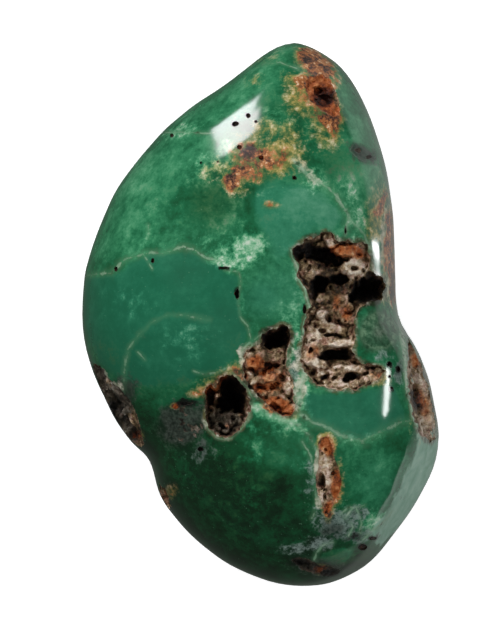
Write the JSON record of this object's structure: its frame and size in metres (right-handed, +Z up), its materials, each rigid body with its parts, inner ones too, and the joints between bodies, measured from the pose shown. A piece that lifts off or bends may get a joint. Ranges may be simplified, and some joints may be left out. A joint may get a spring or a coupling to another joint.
{
  "type": "polished chrysoprase",
  "caption": "Palm-size freeform of green chalcedony with a kidney outline, polished domed face, rough iron-stained vugs and a flat ground rest face.",
  "frame": {"origin": "centre of the stone's box at the level of the rest face", "axes": "+Z up out of the domed face that the picture shows, +Y along the length towards the narrow end, +X towards the side with the waist"},
  "size_m": [0.0394, 0.06, 0.0245],
  "materials": {
    "chrysoprase": "polished green, with rough brown vugs"
  },
  "bodies": {
    "root": {"chrysoprase_stone": "chrysoprase"}
  },
  "joints": []
}
